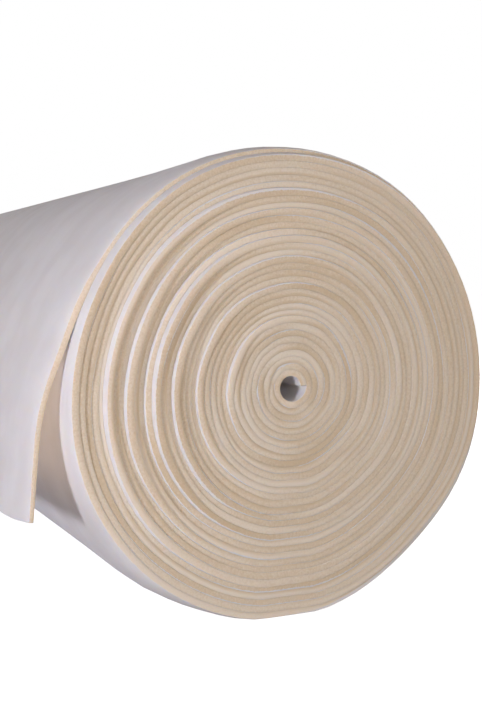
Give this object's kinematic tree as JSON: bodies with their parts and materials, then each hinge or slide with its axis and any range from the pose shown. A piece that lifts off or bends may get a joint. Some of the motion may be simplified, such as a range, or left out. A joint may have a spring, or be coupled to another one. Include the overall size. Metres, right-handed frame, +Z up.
{
  "type": "roll of foam stabilizer",
  "caption": "Wide sheet of soft foam with knitted faces, wound into a roll that lies on its side, its outermost turn come loose and hanging down.",
  "frame": {"origin": "middle of the small flat that the roll rests on, under its axis and halfway along it", "axes": "+Y along the roll's axis, away from the end that the picture shows; +Z up; the loose end hangs at -X"},
  "size_m": [0.257, 1.4838, 0.2389],
  "materials": {
    "foam_sheet": "cream foam with a white knitted face, matt",
    "knit_face": "fine white knitted face, matt"
  },
  "bodies": {
    "root": {"wound_roll": "foam_sheet", "loose_end": "knit_face"}
  },
  "joints": []
}
